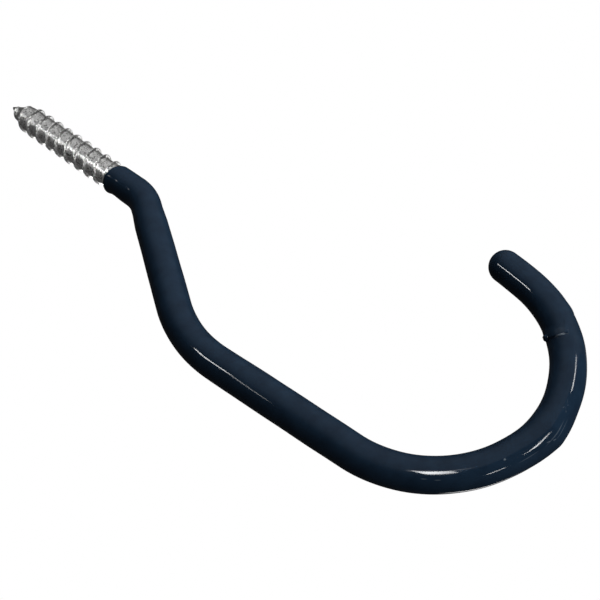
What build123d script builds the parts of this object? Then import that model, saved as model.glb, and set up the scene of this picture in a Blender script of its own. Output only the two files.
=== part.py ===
import os
from math import radians, tan

from build123d import *

# Screw, in mm
thread_d = 8.0
root_d = 6.6
pitch = 4.1
crest_land = 0.5
ridge_base = 1.6
ridge_depth = 0.2
screw_length = 43.0
point_length = 7.0
point_flat_d = 0.6
crest_cone_length = 8.0
nose_crest_d = 4.0
nose_length = 2.5
nose_gap = 1.2
body_blade_r = 2.0
point_blade_r = 0.8
ridge_start_z = -2.93
runout_length = 2.2

# Steel rod, in mm
rod_d = 7.0
rod_end_reach = 2.2
rod_end_chamfer = 1.0
shoulder_length = 1.6

# Run of the bent rod from the screw to the tip, in mm and degrees
neck_length = 8.0
first_bend_r = 19.0
first_bend_angle = 31.0
offset_run_length = 32.0
second_bend_r = 38.0
second_bend_angle = 34.5
shank_length = 39.5
bowl_r = 32.0
bowl_near_angle = 74.0
bowl_low_r = 25.0
bowl_low_angle = 26.0
bowl_far_angle = 67.0
tip_run_length = 8.0

# Vinyl coating, as thicknesses over the rod in mm, and its angles in degrees
neck_coat = 0.55
shank_coat = 0.875
bowl_coat = 0.725
tip_coat = 0.6
mouth_drop = 1.75
mouth_tilt = 13.7
mouth_angle = 210.0
mouth_round_r = 0.9
drip_coat = 0.65
drip_sink = 0.04
lip_rise = 0.175
lip_round_r = 0.7
lip_shift = 0.5
lip_lean = -37.0
lip_share = 0.57

# Sizes that follow
thread_r = thread_d / 2
root_r = root_d / 2
rod_r = rod_d / 2
neck_coated_r = rod_r + neck_coat
shank_coated_r = rod_r + shank_coat
bowl_coated_r = rod_r + bowl_coat
tip_coated_r = rod_r + tip_coat
drip_root_r = bowl_coated_r - drip_sink
lip_reach = bowl_coated_r + lip_rise
overrun = crest_land
ridge_foot_r = root_r - ridge_depth
flank_slope = (ridge_base - crest_land) / 2 / (thread_r - root_r)
ridge_foot_half = ridge_base / 2 + flank_slope * ridge_depth
plain_turns = int((screw_length - point_length - ridge_start_z) / pitch)
body_ridge_length = plain_turns * pitch
point_ridge_z = ridge_start_z + body_ridge_length

# Turned profiles start opposite the thread's own start
screw_plane = Plane.XZ.rotated((0, 0, 180))


# Cross-section of the thread ridge, drawn from its crest line
with BuildSketch() as ridge_section:
    with BuildLine():
        Polyline(
            (ridge_foot_r - thread_r, -ridge_foot_half),
            (0, -crest_land / 2),
            (0, crest_land / 2),
            (ridge_foot_r - thread_r, ridge_foot_half),
            close=True,
        )
    make_face()

# Centre line of the bent rod, in the plane of the hook
with BuildLine(Plane.XZ) as run:
    neck = Line((0, 0), (0, -neck_length))
    first_bend = JernArc(neck @ 1, neck % 1, first_bend_r, -first_bend_angle)
    offset_run = Line(first_bend @ 1, first_bend @ 1 + (first_bend % 1) * offset_run_length)
    second_bend = JernArc(offset_run @ 1, offset_run % 1, second_bend_r, second_bend_angle)
    shank = Line(second_bend @ 1, second_bend @ 1 + (second_bend % 1) * shank_length)
    bowl_near = JernArc(shank @ 1, shank % 1, bowl_r, bowl_near_angle)
    bowl_low = JernArc(bowl_near @ 1, bowl_near % 1, bowl_low_r, bowl_low_angle)
    bowl_far = JernArc(bowl_low @ 1, bowl_low % 1, bowl_r, bowl_far_angle)
    tip_run = Line(bowl_far @ 1, bowl_far @ 1 + (bowl_far % 1) * tip_run_length)
    rod_end = Line(tip_run @ 1, tip_run @ 1 + (tip_run % 1) * rod_end_reach)

# Thread ridge on the plain length, fading out at the coating's mouth
with BuildPart() as body_ridge:
    with BuildLine() as body_turns:
        Helix(pitch, body_ridge_length, thread_r, center=(0, 0, ridge_start_z))
    with BuildSketch(Plane(origin=body_turns.line @ 0, x_dir=(1, 0, 0), z_dir=body_turns.line % 0)):
        add(ridge_section.sketch)
        with Locations(((body_blade_r + ridge_foot_r) / 2 - thread_r, 0)):
            Rectangle(ridge_foot_r - body_blade_r, ridge_foot_half * 2)
    sweep(path=body_turns.line, is_frenet=True)
    with BuildSketch(screw_plane):
        with BuildLine():
            Polyline(
                (0, screw_length),
                (thread_r + overrun, screw_length),
                (thread_r + overrun, overrun),
                (root_r, -runout_length),
                (0, -runout_length),
                close=True,
            )
        make_face()
    revolve(axis=Axis.Z, mode=Mode.INTERSECT)

# Thread ridge on the point, cut down to a cone
with BuildPart() as point_ridge:
    with BuildLine() as point_turns:
        Helix(pitch, screw_length - point_ridge_z, thread_r, center=(0, 0, point_ridge_z))
    with BuildSketch(Plane(origin=point_turns.line @ 0, x_dir=(1, 0, 0), z_dir=point_turns.line % 0)):
        add(ridge_section.sketch)
        with Locations(((point_blade_r + ridge_foot_r) / 2 - thread_r, 0)):
            Rectangle(ridge_foot_r - point_blade_r, ridge_foot_half * 2)
    sweep(path=point_turns.line, is_frenet=True)
    with BuildSketch(screw_plane):
        with BuildLine():
            cone_rise = (crest_cone_length - nose_length) / (thread_r - nose_crest_d / 2)
            Polyline(
                (0, screw_length - nose_gap),
                (point_flat_d / 2, screw_length - nose_gap),
                (nose_crest_d / 2, screw_length - nose_length),
                (thread_r + overrun, screw_length - crest_cone_length - overrun * cone_rise),
                (thread_r + overrun, 0),
                (0, 0),
                close=True,
            )
        make_face()
    revolve(axis=Axis.Z, mode=Mode.INTERSECT)

# Steel rod with its point and thread
with BuildPart() as steel_hook:
    with BuildSketch(screw_plane):
        with BuildLine():
            Polyline(
                (0, screw_length),
                (point_flat_d / 2, screw_length),
                (root_r, screw_length - point_length),
                (root_r, 0),
                (rod_r, -shoulder_length),
                (rod_r, -neck_length),
                (0, -neck_length),
                close=True,
            )
        make_face()
    revolve(axis=Axis.Z)
    add(point_ridge.part)
    add(body_ridge.part)
    with BuildSketch(Plane(origin=first_bend @ 0, z_dir=first_bend % 0)):
        Circle(rod_r)
    sweep(
        path=Wire(
            [first_bend, offset_run, second_bend, shank, bowl_near, bowl_low, bowl_far, tip_run, rod_end]
        )
    )
    chamfer(edges().filter_by(GeomType.CIRCLE).sort_by_distance(rod_end @ 1)[0], rod_end_chamfer)
steel_hook.part.label = "steel_hook"

# Vinyl coating, thickest on the shank
with BuildPart() as vinyl_coating:
    # Neck with its slanted mouth round the screw
    with BuildSketch(Plane.XY.offset(-neck_length)):
        Circle(neck_coated_r)
    extrude(amount=neck_length)
    mouth = Plane(Pos(0, 0, -mouth_drop) * Rot(0, 0, mouth_angle) * Rot(0, -mouth_tilt, 0))
    split(bisect_by=mouth, keep=Keep.BOTTOM)
    fillet(edges().filter_by(GeomType.ELLIPSE), mouth_round_r)

    # Bends, tapered straight runs and the round tip
    bowl = Wire([bowl_near, bowl_low, bowl_far])
    for bend, bend_r in [(first_bend, neck_coated_r), (second_bend, shank_coated_r), (bowl, bowl_coated_r)]:
        with BuildSketch(Plane(origin=bend @ 0, z_dir=bend % 0)):
            Circle(bend_r)
        sweep(path=bend)
    for straight, start_r, end_r in [
        (offset_run, neck_coated_r, shank_coated_r),
        (shank, shank_coated_r, bowl_coated_r),
        (tip_run, bowl_coated_r, tip_coated_r),
    ]:
        for share, radius in [(0, start_r), (1, end_r)]:
            with BuildSketch(Plane(origin=straight @ share, z_dir=straight % share)):
                Circle(radius)
        loft()
    with Locations(tip_run @ 1):
        Sphere(tip_coated_r)

    # Drip under the bowl, where the tangents of its lowest bend meet
    drip_reach = bowl_low_r * tan(radians(bowl_low_angle / 2))
    drip_point = bowl_low @ 0 + (bowl_low % 0) * drip_reach
    for origin, share, radius in [
        (bowl_low @ 0, 0, drip_root_r),
        (drip_point, 0.5, rod_r + drip_coat),
        (bowl_low @ 1, 1, drip_root_r),
    ]:
        with BuildSketch(Plane(origin=origin, x_dir=Axis.Y.direction, z_dir=bowl_low % share)):
            Circle(radius)
    loft(ruled=True)

    # Lip of sagged vinyl on the far side of the bowl
    lip_axis = bowl_far % lip_share
    lip_inward = lip_axis.cross(Axis.Y.direction)
    lip_plane = Plane(origin=bowl_far @ lip_share, x_dir=lip_inward, z_dir=lip_axis)
    with Locations(lip_plane * Pos(lip_shift, 0, 0) * Rot(lip_lean, 0, 0)):
        Torus(lip_reach - lip_round_r, lip_round_r)

    add(steel_hook.part, mode=Mode.SUBTRACT)
vinyl_coating.part.label = "vinyl_coating"

os.makedirs("parts", exist_ok=True)
export_step(steel_hook.part, "parts/steel_hook.step")
export_step(vinyl_coating.part, "parts/vinyl_coating.step")
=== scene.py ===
"""Bike hook: a bent steel rod with a wood-screw thread, dipped in glossy black vinyl."""

import math

import bpy
import numpy as np
from mathutils import Matrix, Vector


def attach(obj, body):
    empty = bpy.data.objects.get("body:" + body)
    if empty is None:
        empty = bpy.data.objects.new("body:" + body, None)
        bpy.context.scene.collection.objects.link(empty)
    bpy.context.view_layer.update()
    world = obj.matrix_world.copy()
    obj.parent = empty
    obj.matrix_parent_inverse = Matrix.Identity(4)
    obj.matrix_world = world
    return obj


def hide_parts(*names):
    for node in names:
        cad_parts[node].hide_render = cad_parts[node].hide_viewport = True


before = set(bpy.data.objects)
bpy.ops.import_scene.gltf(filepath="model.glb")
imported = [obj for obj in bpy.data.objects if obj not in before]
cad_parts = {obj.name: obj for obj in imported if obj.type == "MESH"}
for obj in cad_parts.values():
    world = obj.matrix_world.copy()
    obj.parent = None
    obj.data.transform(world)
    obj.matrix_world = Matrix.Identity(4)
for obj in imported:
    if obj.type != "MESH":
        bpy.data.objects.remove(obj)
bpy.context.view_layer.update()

MM = 0.001

# Fineness of the meshes: sides of a ring, numbers of rings, steps along the run in mm
SIDES = 112
SCREW_RINGS = 640
MOUTH_RINGS = 20
TIP_RINGS = 24
PLAIN_STEP = 2.0
COAT_STEP = 0.45
LIP_STEP = 0.06

# Distance along the run that one UV unit stands for, in mm
UV_LENGTH = 100.0

# Screw, in mm: lengths as in the CAD, with the ridge and root fitted more closely to the photograph
THREAD_R = 4.1
ROOT_R = 3.34
PITCH = 4.1
CREST_LAND = 0.2
RIDGE_BASE = 1.0
RIDGE_START = -3.3
FLANK_STRAIGHT_SHARE = 0.4
CREST_WEAR = 0.03
SCREW_LENGTH = 43.0
POINT_LENGTH = 7.0
POINT_FLAT_R = 0.3
CREST_CONE_LENGTH = 8.0
NOSE_GAP = 1.2
NOSE_LENGTH = 2.5
NOSE_CREST_R = 2.0
RUNOUT = 2.2
RUNOUT_END = 0.5
SHOULDER = 1.6
ROD_R = 3.5
ROD_END_REACH = 2.2
ROD_END_CHAMFER = 1.0


def bend(radius, turn):
    """Length in mm and turn in degrees of a bend of the rod; a turn above 0 is towards the open side."""
    return radius * math.radians(abs(turn)), turn


# Run of the rod from the frame's origin to the tip, as (length in mm, turn in degrees)
NECK = (9.9, 0.0)
FIRST_BEND = bend(12.0, -31.0)
OFFSET_RUN = (34.8, 0.0)
SECOND_BEND = bend(35.0, 34.5)
SHANK = (40.5, 0.0)
BOWL_NEAR = bend(32.0, 74.0)
BOWL_LOW = bend(25.0, 26.0)
BOWL_FAR = bend(32.0, 67.0)
TIP_RUN = (7.8, 3.5)
RUN = [NECK, FIRST_BEND, OFFSET_RUN, SECOND_BEND, SHANK, BOWL_NEAR, BOWL_LOW, BOWL_FAR, TIP_RUN]

# Distances along the run, in mm
STARTS = [sum(length for length, turn in RUN[:count]) for count in range(len(RUN) + 1)]
SECOND_BEND_S = STARTS[3]
SHANK_S = STARTS[4]
BOWL_S = STARTS[5]
DRIP_S = STARTS[6] + BOWL_LOW[0] / 2
LIP_BOWL_SHARE = 0.57
LIP_S = STARTS[7] + LIP_BOWL_SHARE * BOWL_FAR[0]
RUN_LENGTH = STARTS[-1]

# Coating's usual radius, its clearance on the rod and where its plain bore stops, in mm
COAT_R = 4.25
BORE_GAP = 0.02
BORE_STOP = 4.0

# Coating's width, as (distance along the run, width) in mm
COAT_WIDTHS = [
    (0, 8.2),
    (10, 8.4),
    (18, 8.15),
    (SECOND_BEND_S - 28, 8.7),
    (SECOND_BEND_S - 6, 8.82),
    (SECOND_BEND_S + 10, 8.7),
    (SHANK_S + 13, 8.97),
    (SHANK_S + 33, 8.82),
    (BOWL_S + 6, 8.55),
    (BOWL_S + 29, 8.25),
    (DRIP_S - 6, 8.35),
    (DRIP_S + 7, 8.42),
    (DRIP_S + 18, 8.45),
    (LIP_S + 5, 8.36),
    (RUN_LENGTH - 6, 8.25),
]

# Coating's slanted mouth on the screw, in mm and degrees
MOUTH_S = 1.75
MOUTH_SLANT = 0.9
MOUTH_ANGLE = 150.0
MOUTH_ROUND = 0.9
MOUTH_R = 3.15
MOUTH_BLEND = 9.0
MOUTH_DEPTH = 0.3
MOUTH_GAP = 0.3

# Swellings of the neck, in mm and degrees: a bead with a hollow after it, and a low bulge
BEAD_S = 2.2
BEAD_ANGLE = 195.0
BEAD_HEIGHT = 0.28
BEAD_LENGTH = 0.8
BEAD_FOCUS = 4
HOLLOW_S = BEAD_S + 2.6
HOLLOW_LENGTH = 1.5
HOLLOW_SHARE = 0.4
BULGE_S = 5.6
BULGE_ANGLE = 119.0
BULGE_HEIGHT = 0.14
BULGE_LENGTH = 2.6
BULGE_FOCUS = 6

# Drip under the bowl, and faint ripples with the distances over which they set in, in mm
DRIP_HEIGHT = 0.68
DRIP_REACH = 8.0
DRIP_ROUND = 0.4
DRIP_POWER = 1.5
RIPPLE_HEIGHT = 0.025
RIPPLE_ONSET = (3, 8)
BOWL_RIPPLE_HEIGHT = 0.02
BOWL_RIPPLE_ONSET = (120, 150)

# Sag lip's edge round the rod, as (angle in degrees, place past LIP_S in mm, share of the height)
LIP_EDGE = [
    (-90, 0.9, 0.15),
    (-12, -0.3, 0.4),
    (15, -0.9, 0.6),
    (32, -2.1, 1.0),
    (65, -2.9, 1.0),
    (93, -2.6, 1.0),
    (98, -1.0, 0.5),
    (102, -0.4, 0.12),
    (140, 3.2, 0.12),
    (150, 3.8, 0.4),
    (165, 3.9, 0.4),
    (270, 0.9, 0.15),
]
LIP_ANGLES, LIP_PLACES, LIP_SHARES = zip(*LIP_EDGE)
LIP_HEIGHT = 0.35
LIP_RISE = (-0.2, 0.22)
LIP_FALL = (0.9, 3.4)
LIP_ZONE = (LIP_S - 5, LIP_S + 6)
NOTCH_ANGLE = 162.0
NOTCH_SPAN = 12.0
NOTCH_LENGTH = 0.25
NOTCH_DEPTH = 0.45
NUB_S = LIP_S - 1.2
NUB_ANGLE = 17.0
NUB_R = 0.9

# Scuffs and painted highlights, as pale marks: place along the run in mm, angle, half length and half
# width in mm, tilt, strength
SCUFFS_AND_PAINTED_HIGHLIGHTS = [
    # Scuffs along the bowl, which also paint the bright streaks beside its highlights
    (159.5, 138, 4.0, 0.16, -8, 0.2),
    (161.0, 145, 3.4, 0.14, -8, 0.12),
    (157.2, 140, 0.7, 0.16, 20, 0.3),
    (158.4, 147, 0.5, 0.16, 20, 0.3),
    (152.2, 143, 3.0, 0.14, 0, 0.16),
    (147.5, 115, 0.35, 0.35, 0, 0.5),
    (130.7, 130, 0.9, 0.14, 0, 0.25),
    (133.4, 133, 0.9, 0.14, 0, 0.25),
    (165.0, 112, 0.4, 0.15, 20, 0.15),
    (164.5, 124, 0.4, 0.15, -30, 0.15),
    (166.0, 121, 0.3, 0.15, 40, 0.12),
    # Painted highlight along the sag lip's edge, and a painted lighter band above it
    (LIP_S - 2.75, 71, 1.9, 0.24, 90, 0.4),
    (LIP_S - 2.75, 78, 1.0, 0.2, 90, 0.6),
    (LIP_S - 1.6, 72, 1.8, 1.3, 90, 0.05),
]
# Where the pale marks of scuffs and painted highlights fade out, as shares of their size
SCUFF_AND_HIGHLIGHT_FADE_SHARES = (0.3, 1.0)

# Colours
VINYL_SHADES = [(0.3, (0.0092, 0.0218, 0.043)), (0.7, (0.0132, 0.0315, 0.06))]
ZINC_SHADES = [(0.38, (0.24, 0.24, 0.234)), (0.46, (0.86, 0.86, 0.85)), (0.7, (0.97, 0.97, 0.96))]
# Pale colour of the scuffs and the painted highlights
SCUFF_AND_HIGHLIGHT_COLOUR = (0.3, 0.36, 0.42, 1)
FLOOR_COLOUR = (0.85, 0.85, 0.85, 1)
FLOOR_GLOW = (0.9, 0.9, 0.9, 1)

# Sky: the direction of its pale side, the edges and strengths of its gradient, and its share as light
SKY_DIRECTION = (0.604, -0.797, 0.0)
SKY_EDGES = (0.2, 0.95)
SKY_STRENGTHS = (0.06, 0.55)
SKY_LIGHT_SHARE = 0.35

# Points that the lamps face, in metres
HOOK_AIM = (0.005, 0.0, -0.05)
TIP_AIM = (0.03, 0.0, -0.08)
THREAD_AIM = (0.0, -0.004, 0.015)
SCREW_AIM = (0.0, 0.0, 0.02)
BOWL_AIM = (-0.012, -0.004, -0.125)
CORNER_AIM = (0.004, -0.004, -0.138)
FAR_AIM = (0.043, -0.004, -0.12)

# Lamps: name, start, end and width in metres, radiance, point faced, spread in degrees
SOFT_LAMPS = [
    ("key", (0.05, -0.62, -1.2), (1.05, -0.82, -0.48), 1.2, 2.6, HOOK_AIM, 180),
    ("fill", (0.14, -0.2, 0.06), (0.2, -0.14, -0.02), 0.12, 4.6, TIP_AIM, 180),
    ("back", (0.708, 1.01, 0.232), (0.166, 0.91, 0.812), 0.8, 5, HOOK_AIM, 60),
]
GLOSS_LAMPS = [
    ("strip", (-0.235, -0.36, 0.222), (-0.29, -0.363, 0.155), 0.04, 42, HOOK_AIM, 180),
    ("strip_tail", (-0.29, -0.363, 0.155), (-0.33, -0.343, 0.115), 0.02, 12, HOOK_AIM, 180),
    ("neck_strip", (-0.215, -0.33, 0.312), (-0.285, -0.265, 0.33), 0.03, 22, THREAD_AIM, 10),
    ("softbox", (-0.173, -0.473, -0.175), (-0.084, -0.485, -0.238), 0.25, 75, BOWL_AIM, 24),
    ("softbox_rim", (-0.175, -0.476, -0.13), (0.01, -0.495, -0.235), 0.03, 15, BOWL_AIM, 24),
    ("low_left", (-0.119, -0.107, -0.394), (-0.068, -0.1, -0.412), 0.02, 30, BOWL_AIM, 60),
    ("low_right", (0.0245, -0.1775, -0.3795), (0.09, -0.248, -0.316), 0.019, 46, CORNER_AIM, 60),
    ("side", (0.421, -0.297, -0.22), (0.352, -0.321, -0.328), 0.045, 38, FAR_AIM, 40),
    ("crest", (0.435, -0.22, -0.095), (0.405, -0.255, -0.165), 0.09, 12, SCREW_AIM, 14),
    ("upper_lobes", (0.41, 0.27, -0.11), (0.31, 0.37, -0.11), 0.14, 4, SCREW_AIM, 30),
    ("lower_lobes", (0.1, 0.46, -0.13), (-0.12, 0.46, -0.13), 0.22, 20, SCREW_AIM, 30),
]


def run_at(s):
    """Centre (x, z) and heading of the rod at distances s in mm; s is negative on the screw."""
    x, z = np.zeros_like(s), -s
    heading = np.full_like(s, -math.pi / 2)
    start, x0, z0, h0 = 0.0, 0.0, 0.0, -math.pi / 2
    for length, turn in RUN:
        on = s >= start
        curvature = math.radians(turn) / length
        along = np.append(s - start, length)
        h = h0 + curvature * along
        if turn:
            px = x0 + (np.sin(h) - math.sin(h0)) / curvature
            pz = z0 - (np.cos(h) - math.cos(h0)) / curvature
        else:
            px = x0 + along * math.cos(h0)
            pz = z0 + along * math.sin(h0)
        x = np.where(on, px[:-1], x)
        z = np.where(on, pz[:-1], z)
        heading = np.where(on, h[:-1], heading)
        start, x0, z0, h0 = start + length, px[-1], pz[-1], h[-1]
    return x, z, heading


def smooth(low, high, value):
    """0 below low, 1 above high, eased between."""
    t = np.clip((value - low) / (high - low), 0, 1)
    return t * t * (3 - 2 * t)


def hump(distance, width):
    """A rounded hump, 1 in the middle."""
    return np.exp(-((distance / width) ** 2))


def towards(phi, angle):
    """1 on the side of the rod at an angle in degrees, falling to 0 on the other side."""
    return 0.5 + 0.5 * np.cos(phi - math.radians(angle))


def ring_angles():
    """Angles round the rod: 0 inside the bowl, 90 degrees on the photographed side, 180 outside."""
    return np.linspace(0, 2 * math.pi, SIDES, endpoint=False)


def tube(name, s, radius):
    """Closed mesh of rings along the rod; the first and last rings close to a point."""
    phi = ring_angles()
    s = np.broadcast_to(s, radius.shape)
    x, z, heading = (value.reshape(s.shape) for value in run_at(s.ravel()))
    inward = radius * np.cos(phi)
    px = x - inward * np.sin(heading)
    py = -radius * np.sin(phi)
    pz = z + inward * np.cos(heading)
    grid = np.stack([px, py, pz], axis=-1) * MM
    rings = len(radius)
    points = [tuple(grid[0].mean(axis=0))]
    points += [tuple(p) for p in grid[1:-1].reshape(-1, 3)]
    points.append(tuple(grid[-1].mean(axis=0)))
    last = len(points) - 1

    def at(i, j):
        return 1 + (i - 1) * SIDES + j % SIDES

    def uv(i, j):
        return s[i, j % SIDES] / UV_LENGTH, j / SIDES

    faces = []
    corner_uvs = []
    for i in range(rings - 1):
        for j in range(SIDES):
            if i == 0:
                faces.append((0, at(1, j), at(1, j + 1)))
                corner_uvs += [uv(0, j), uv(1, j), uv(1, j + 1)]
            elif i == rings - 2:
                faces.append((at(i, j), last, at(i, j + 1)))
                corner_uvs += [uv(i, j), uv(i + 1, j), uv(i, j + 1)]
            else:
                faces.append((at(i, j), at(i + 1, j), at(i + 1, j + 1), at(i, j + 1)))
                corner_uvs += [uv(i, j), uv(i + 1, j), uv(i + 1, j + 1), uv(i, j + 1)]
    mesh = bpy.data.meshes.new(name)
    mesh.from_pydata(points, [], faces)
    layer = mesh.uv_layers.new(name="run")
    layer.data.foreach_set("uv", np.array(corner_uvs, dtype=np.float32).ravel())
    mesh.shade_smooth()
    piece = bpy.data.objects.new(name, mesh)
    bpy.context.scene.collection.objects.link(piece)
    return piece


def ridge_shape(z, phi):
    """Height of the thread ridge, from 0 on the flats to 1 on the crest."""
    turn = -phi / (2 * math.pi)
    w = np.mod(z - RIDGE_START - PITCH * turn + PITCH / 2, PITCH) - PITCH / 2
    flank = (RIDGE_BASE - CREST_LAND) / 2
    fall = np.clip((np.abs(w) - CREST_LAND / 2) / flank, 0, 1)
    return 1 - FLANK_STRAIGHT_SHARE * fall - (1 - FLANK_STRAIGHT_SHARE) * smooth(0, 1, fall)


def screw_radius(z, phi):
    """Radius of the threaded end, in mm, at heights z up the screw."""
    from_tip = SCREW_LENGTH - z
    cone = np.clip(from_tip / POINT_LENGTH, 0, 1)
    core = POINT_FLAT_R + (ROOT_R - POINT_FLAT_R) * cone
    shoulder = smooth(0, SHOULDER, -z)
    core = core + (ROD_R - core) * shoulder
    nose_places = [NOSE_GAP, NOSE_LENGTH, CREST_CONE_LENGTH]
    crest = np.interp(from_tip, nose_places, [POINT_FLAT_R, NOSE_CREST_R, THREAD_R])
    crest = np.maximum(crest, core)
    fade = smooth(-RUNOUT, RUNOUT_END, z)
    wear = CREST_WEAR * np.sin(7 * phi + 1.1 * z) * np.sin(2.3 * z + 3 * phi)
    return core + (crest - core + wear) * ridge_shape(z, phi) * fade


def steel_piece():
    """The steel rod with its wood-screw thread."""
    phi = ring_angles()
    screw_z = np.linspace(SCREW_LENGTH, -SHOULDER, SCREW_RINGS)
    end = RUN_LENGTH + ROD_END_REACH
    rod_s = np.arange(SHOULDER + PLAIN_STEP / 2, end - ROD_END_CHAMFER, PLAIN_STEP)
    s = np.concatenate([[-SCREW_LENGTH], -screw_z, rod_s, [end - ROD_END_CHAMFER, end, end]])
    radius = np.full((len(s), SIDES), ROD_R)
    radius[0] = 0
    radius[1 : 1 + len(screw_z)] = screw_radius(screw_z[:, None], phi[None, :])
    radius[-2] = ROD_R - ROD_END_CHAMFER
    radius[-1] = 0
    return tube("steel_rod", s[:, None], radius)


def mouth_at(phi):
    """Distance along the run, in mm, at which the coating's slanted mouth begins."""
    return MOUTH_S - MOUTH_SLANT * np.cos(phi - math.radians(MOUTH_ANGLE))


def neck_swelling(s, phi):
    """Height of the bead behind the mouth, the hollow after it and the neck's low bulge, in mm."""
    bead = hump(s - BEAD_S, BEAD_LENGTH) - HOLLOW_SHARE * hump(s - HOLLOW_S, HOLLOW_LENGTH)
    bead = BEAD_HEIGHT * towards(phi, BEAD_ANGLE) ** BEAD_FOCUS * bead
    bulge = BULGE_HEIGHT * towards(phi, BULGE_ANGLE) ** BULGE_FOCUS * hump(s - BULGE_S, BULGE_LENGTH)
    return bead + bulge


def drip(s, phi):
    """Height of the drip on the outside of the bowl's lowest bend, in mm."""
    outer = np.clip(-np.cos(phi), 0, 1)
    share = np.clip(1 - np.hypot(s - DRIP_S, DRIP_ROUND) / DRIP_REACH, 0, 1)
    return DRIP_HEIGHT * outer * share**DRIP_POWER


def sag_lip(s, phi):
    """Height of the lip of sagged vinyl, with the round nub and the notch on its edge, in mm."""
    angle = np.degrees(np.mod(phi + math.pi / 2, 2 * math.pi)) - 90
    past = s - LIP_S - np.interp(angle, LIP_ANGLES, LIP_PLACES)
    strength = np.interp(angle, LIP_ANGLES, LIP_SHARES)
    lip = LIP_HEIGHT * strength * smooth(*LIP_RISE, past) * (1 - smooth(*LIP_FALL, past))
    from_nub = np.hypot(np.radians(angle - NUB_ANGLE) * COAT_R, s - NUB_S)
    nub = np.sqrt(np.clip(NUB_R**2 - from_nub**2, 0, None))
    notch = NOTCH_DEPTH * hump(angle - NOTCH_ANGLE, NOTCH_SPAN) * hump(past, NOTCH_LENGTH)
    return lip + nub - notch


def ripple(s, phi):
    """Height of the faint ripples left by the dipping, in mm."""
    long_waves = np.sin(s / 2.9 + 2 * phi) * np.sin(s / 7.3 - phi + 0.6)
    short_waves = np.sin(s / 1.7 + 1.4 * np.sin(phi)) * smooth(*BOWL_RIPPLE_ONSET, s)
    return (RIPPLE_HEIGHT * long_waves + BOWL_RIPPLE_HEIGHT * short_waves) * smooth(*RIPPLE_ONSET, s)


def coat_radius(s, phi):
    """Outside radius of the coating, in mm, with its swellings, drip, sag lip and ripples."""
    places, widths = zip(*COAT_WIDTHS)
    body = np.interp(s, places, widths) / 2 + 0 * phi
    edge = np.clip((s - mouth_at(phi)) / MOUTH_ROUND, 0, 1)
    body = MOUTH_R + (body - MOUTH_R) * np.sqrt(1 - (1 - edge) ** 2)
    return body + neck_swelling(s, phi) + drip(s, phi) + sag_lip(s, phi) + ripple(s, phi)


def vinyl_piece():
    """The dipped coating, open at the screw and closed over the rod's end."""
    phi = ring_angles()
    end = RUN_LENGTH + ROD_END_REACH + BORE_GAP
    chamfer_s = end - ROD_END_CHAMFER
    bore = ROD_R + BORE_GAP
    plain_bore_s = np.arange(chamfer_s - PLAIN_STEP, BORE_STOP, -PLAIN_STEP)
    bore_s = np.concatenate([[end, end, chamfer_s], plain_bore_s])
    bore_r = np.full(len(bore_s), bore)
    bore_r[0] = 0
    bore_r[1] = bore - ROD_END_CHAMFER
    bore_s = np.tile(bore_s[:, None], SIDES)
    bore_r = np.tile(bore_r[:, None], SIDES)
    under_mouth = mouth_at(phi) + MOUTH_DEPTH
    under_mouth_r = np.full(SIDES, MOUTH_R)

    mouth_zone = MOUTH_ROUND * (1 - np.cos(np.linspace(0, math.pi / 2, MOUTH_RINGS)))
    lip_zone = np.arange(*LIP_ZONE, LIP_STEP)
    before_lip = np.arange(MOUTH_ROUND + MOUTH_GAP, lip_zone[0], COAT_STEP)
    after_lip = np.arange(lip_zone[-1] + COAT_STEP, RUN_LENGTH, COAT_STEP)
    coat_s = np.concatenate([mouth_zone, before_lip, lip_zone, after_lip, [RUN_LENGTH]])[:, None]
    coat_s = coat_s + mouth_at(phi) * (1 - smooth(0, MOUTH_BLEND, coat_s))
    coat_r = coat_radius(coat_s, phi)
    tip_angle = np.linspace(0, math.pi / 2, TIP_RINGS)[1:, None]
    tip_s = RUN_LENGTH + coat_r[-1].mean() * np.sin(tip_angle) + 0 * phi
    tip_r = coat_r[-1] * np.cos(tip_angle)

    s = np.concatenate([bore_s, [under_mouth], coat_s, tip_s])
    radius = np.concatenate([bore_r, [under_mouth_r], coat_r, tip_r])
    return tube("vinyl_skin", s, radius)


def new_material(name):
    """A node material, with its nodes, links and Principled shader."""
    material = bpy.data.materials.new(name)
    material.use_nodes = True
    tree = material.node_tree
    return material, tree.nodes, tree.links, tree.nodes["Principled BSDF"]


def noise(nodes, links, vector, scale, detail, stretch=(1, 1, 1)):
    """A noise texture's value output, on a vector scaled by stretch."""
    mapping = nodes.new("ShaderNodeMapping")
    mapping.inputs["Scale"].default_value = stretch
    links.new(vector, mapping.inputs["Vector"])
    texture = nodes.new("ShaderNodeTexNoise")
    texture.inputs["Scale"].default_value = scale
    texture.inputs["Detail"].default_value = detail
    links.new(mapping.outputs["Vector"], texture.inputs["Vector"])
    return texture.outputs["Fac"]


def ramp(nodes, links, value, stops):
    """A colour ramp's output over (position, colour) stops."""
    node = nodes.new("ShaderNodeValToRGB")
    elements = node.color_ramp.elements
    while len(elements) < len(stops):
        elements.new(0.5)
    for element, (position, colour) in zip(elements, stops):
        element.position = position
        element.color = (*colour, 1)
    links.new(value, node.inputs["Fac"])
    return node.outputs["Color"]


def between(nodes, links, value, low, high, edges=(0.0, 1.0), interpolation="LINEAR"):
    """The value mapped from the range of edges to low..high."""
    node = nodes.new("ShaderNodeMapRange")
    node.interpolation_type = interpolation
    node.inputs["From Min"].default_value, node.inputs["From Max"].default_value = edges
    node.inputs["To Min"].default_value = low
    node.inputs["To Max"].default_value = high
    links.new(value, node.inputs["Value"])
    return node.outputs["Result"]


def combine(nodes, links, operation, first, second):
    """The output of a math node on two values."""
    node = nodes.new("ShaderNodeMath")
    node.operation = operation
    links.new(first, node.inputs[0])
    links.new(second, node.inputs[1])
    return node.outputs["Value"]


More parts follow.
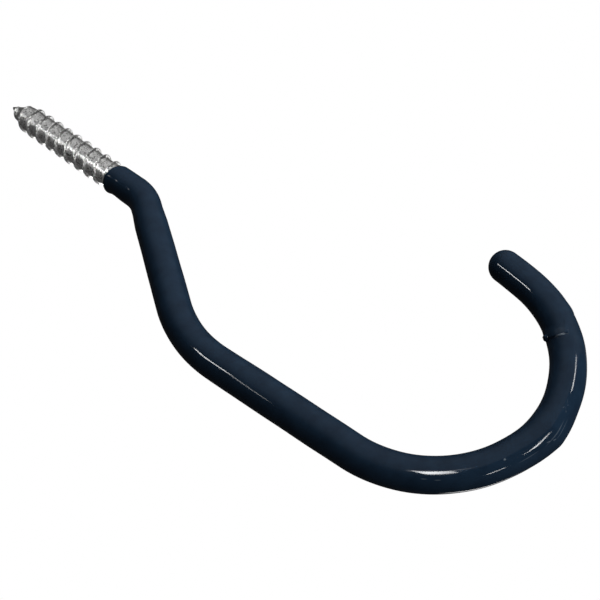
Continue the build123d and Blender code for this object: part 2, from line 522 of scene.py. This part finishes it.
def bump(nodes, links, height, distance, strength):
    """A bump node's normal output."""
    node = nodes.new("ShaderNodeBump")
    node.inputs["Distance"].default_value = distance
    node.inputs["Strength"].default_value = strength
    links.new(height, node.inputs["Height"])
    return node.outputs["Normal"]


def scuff_and_highlight_mask(nodes, links, run):
    """The strength of the strongest pale mark, scuff and painted highlight alike, at a point, on distances
    in mm along and round the rod.
    """
    nothing = nodes.new("ShaderNodeValue")
    nothing.outputs["Value"].default_value = 0.0
    total = nothing.outputs["Value"]
    for place, angle, half_length, half_width, tilt, strength in SCUFFS_AND_PAINTED_HIGHLIGHTS:
        mapping = nodes.new("ShaderNodeMapping")
        mapping.vector_type = "TEXTURE"
        mapping.inputs["Location"].default_value = (place, math.radians(angle) * COAT_R, 0)
        mapping.inputs["Rotation"].default_value = (0, 0, math.radians(tilt))
        mapping.inputs["Scale"].default_value = (half_length, half_width, 1)
        links.new(run, mapping.inputs["Vector"])
        distance = nodes.new("ShaderNodeVectorMath")
        distance.operation = "LENGTH"
        links.new(mapping.outputs["Vector"], distance.inputs[0])
        away = distance.outputs["Value"]
        share = between(nodes, links, away, strength, 0.0, SCUFF_AND_HIGHLIGHT_FADE_SHARES, "SMOOTHSTEP")
        total = combine(nodes, links, "MAXIMUM", total, share)
    return total


def vinyl_material():
    """Glossy black vinyl with a blue cast, faint mottling, and pale marks that are partly scuffs and
    partly painted highlights.
    """
    material, nodes, links, shader = new_material("black_vinyl")
    place = nodes.new("ShaderNodeTexCoord").outputs["Object"]
    uv = nodes.new("ShaderNodeUVMap")
    uv.uv_map = "run"
    scaled_uv = nodes.new("ShaderNodeVectorMath")
    scaled_uv.operation = "MULTIPLY"
    scaled_uv.inputs[1].default_value = (UV_LENGTH, 2 * math.pi * COAT_R, 1)
    links.new(uv.outputs["UV"], scaled_uv.inputs[0])
    run = scaled_uv.outputs["Vector"]
    mottle = noise(nodes, links, place, scale=250, detail=4.0)
    # Pale marks mixed into the base colour: scuffs, and painted highlights on the bowl and the sag lip
    scuffed_and_highlit = nodes.new("ShaderNodeMix")
    scuffed_and_highlit.data_type = "RGBA"
    scuffed_and_highlit.inputs["B"].default_value = SCUFF_AND_HIGHLIGHT_COLOUR
    links.new(scuff_and_highlight_mask(nodes, links, run), scuffed_and_highlit.inputs["Factor"])
    links.new(ramp(nodes, links, mottle, VINYL_SHADES), scuffed_and_highlit.inputs["A"])
    links.new(scuffed_and_highlit.outputs["Result"], shader.inputs["Base Color"])
    shader.inputs["Specular IOR Level"].default_value = 0.0
    shader.inputs["Roughness"].default_value = 0.5
    shader.inputs["Coat Weight"].default_value = 0.35
    shader.inputs["Coat Roughness"].default_value = 0.06
    unevenness = noise(nodes, links, run, scale=0.5, detail=3.0, stretch=(0.3, 1.0, 1.0))
    dimples = bump(nodes, links, unevenness, distance=0.0002, strength=0.02)
    links.new(dimples, shader.inputs["Coat Normal"])
    return material


def zinc_material():
    """Bright zinc plating, mottled and speckled with dull spots."""
    material, nodes, links, shader = new_material("zinc_steel")
    place = nodes.new("ShaderNodeTexCoord").outputs["Object"]
    speckle = noise(nodes, links, place, scale=2200, detail=3.0)
    links.new(ramp(nodes, links, speckle, ZINC_SHADES), shader.inputs["Base Color"])
    shader.inputs["Metallic"].default_value = 1.0
    cloud = noise(nodes, links, place, scale=500, detail=3.0)
    links.new(between(nodes, links, cloud, low=0.22, high=0.4), shader.inputs["Roughness"])
    grain = noise(nodes, links, place, scale=1100, detail=4.0)
    links.new(bump(nodes, links, grain, distance=0.0003, strength=0.35), shader.inputs["Normal"])
    return material


def lamp(name, start, end, width, radiance, aim, spread, soft):
    """A rectangular lamp from start to end; a soft one lights, the others shine only in the gloss."""
    start, end = Vector(start), Vector(end)
    data = bpy.data.lights.new(name, "AREA")
    data.shape = "RECTANGLE"
    data.size, data.size_y = width, (end - start).length
    data.energy = radiance * math.pi * data.size * data.size_y
    if spread < 180:
        half = math.radians(spread / 2)
        data.spread = 2 * half
        data.energy *= 1 - half / math.tan(half)
    long_axis = (end - start).normalized()
    away = (start + end) / 2 - Vector(aim)
    away = (away - long_axis * away.dot(long_axis)).normalized()
    place = Matrix((long_axis.cross(away), long_axis, away)).transposed().to_4x4()
    place.translation = (start + end) / 2
    lamp_object = bpy.data.objects.new(name, data)
    lamp_object.matrix_world = place
    lamp_object.visible_camera = False
    lamp_object.visible_diffuse = soft
    lamp_object.visible_glossy = not soft
    bpy.context.scene.collection.objects.link(lamp_object)


def white_world():
    """A white background; reflections see a sky that is pale on one side of the hook and dim elsewhere."""
    world = bpy.data.worlds.new("studio")
    world.use_nodes = True
    bpy.context.scene.world = world
    nodes, links = world.node_tree.nodes, world.node_tree.links
    background = nodes["Background"]
    background.inputs["Color"].default_value = (1, 1, 1, 1)
    direction = nodes.new("ShaderNodeTexCoord").outputs["Generated"]
    facing = nodes.new("ShaderNodeVectorMath")
    facing.operation = "DOT_PRODUCT"
    facing.inputs[1].default_value = SKY_DIRECTION
    links.new(direction, facing.inputs[0])
    sky = between(nodes, links, facing.outputs["Value"], *SKY_STRENGTHS, SKY_EDGES, "SMOOTHSTEP")
    path = nodes.new("ShaderNodeLightPath").outputs
    seen = combine(nodes, links, "MAXIMUM", path["Is Camera Ray"], path["Is Transmission Ray"])
    share = between(nodes, links, path["Is Glossy Ray"], SKY_LIGHT_SHARE, 1.0)
    unseen = combine(nodes, links, "MULTIPLY", share, sky)
    strength = combine(nodes, links, "MAXIMUM", seen, unseen)
    links.new(strength, background.inputs["Strength"])


def pale_floor():
    """A plain pale floor, well below the hook, which the camera sees as white."""
    size, height = 4.0, -1.5
    mesh = bpy.data.meshes.new("floor")
    corners = [(-size, -size, height), (size, -size, height), (size, size, height), (-size, size, height)]
    mesh.from_pydata(corners, [], [(0, 1, 2, 3)])
    floor = bpy.data.objects.new("floor", mesh)
    bpy.context.scene.collection.objects.link(floor)
    material, nodes, links, shader = new_material("floor")
    shader.inputs["Base Color"].default_value = FLOOR_COLOUR
    shader.inputs["Roughness"].default_value = 0.9
    shader.inputs["Emission Color"].default_value = FLOOR_GLOW
    seen = nodes.new("ShaderNodeLightPath").outputs["Is Camera Ray"]
    links.new(seen, shader.inputs["Emission Strength"])
    mesh.materials.append(material)


def photo_camera():
    """The photograph's viewpoint: focal length, place and turn were fitted to the hook's outline."""
    focal_px, image_px, sensor = 1232.0, 600, 36.0
    data = bpy.data.cameras.new("camera")
    data.sensor_width = sensor
    data.lens = focal_px * sensor / image_px
    data.clip_start = 0.01
    camera = bpy.data.objects.new("camera", data)
    right = Vector((0.6781, 0.12643, -0.72403))
    up = Vector((0.64061, -0.58457, 0.4979))
    back = Vector((-0.3603, -0.80143, -0.47738))
    place = Matrix((right, up, back)).transposed().to_4x4()
    place.translation = Vector((-0.10687, -0.24044, -0.2124))
    camera.matrix_world = place
    bpy.context.scene.collection.objects.link(camera)
    bpy.context.scene.camera = camera


def dress(piece, material, node):
    """Gives a piece its material, attaches it to the root body and hides the CAD node it stands in for."""
    piece.data.materials.append(material)
    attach(piece, "root")
    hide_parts(node)


dress(steel_piece(), zinc_material(), "steel_hook")
dress(vinyl_piece(), vinyl_material(), "vinyl_coating")

bpy.context.scene.view_settings.view_transform = "Standard"
white_world()
pale_floor()
for row in SOFT_LAMPS:
    lamp(*row, soft=True)
for row in GLOSS_LAMPS:
    lamp(*row, soft=False)
photo_camera()
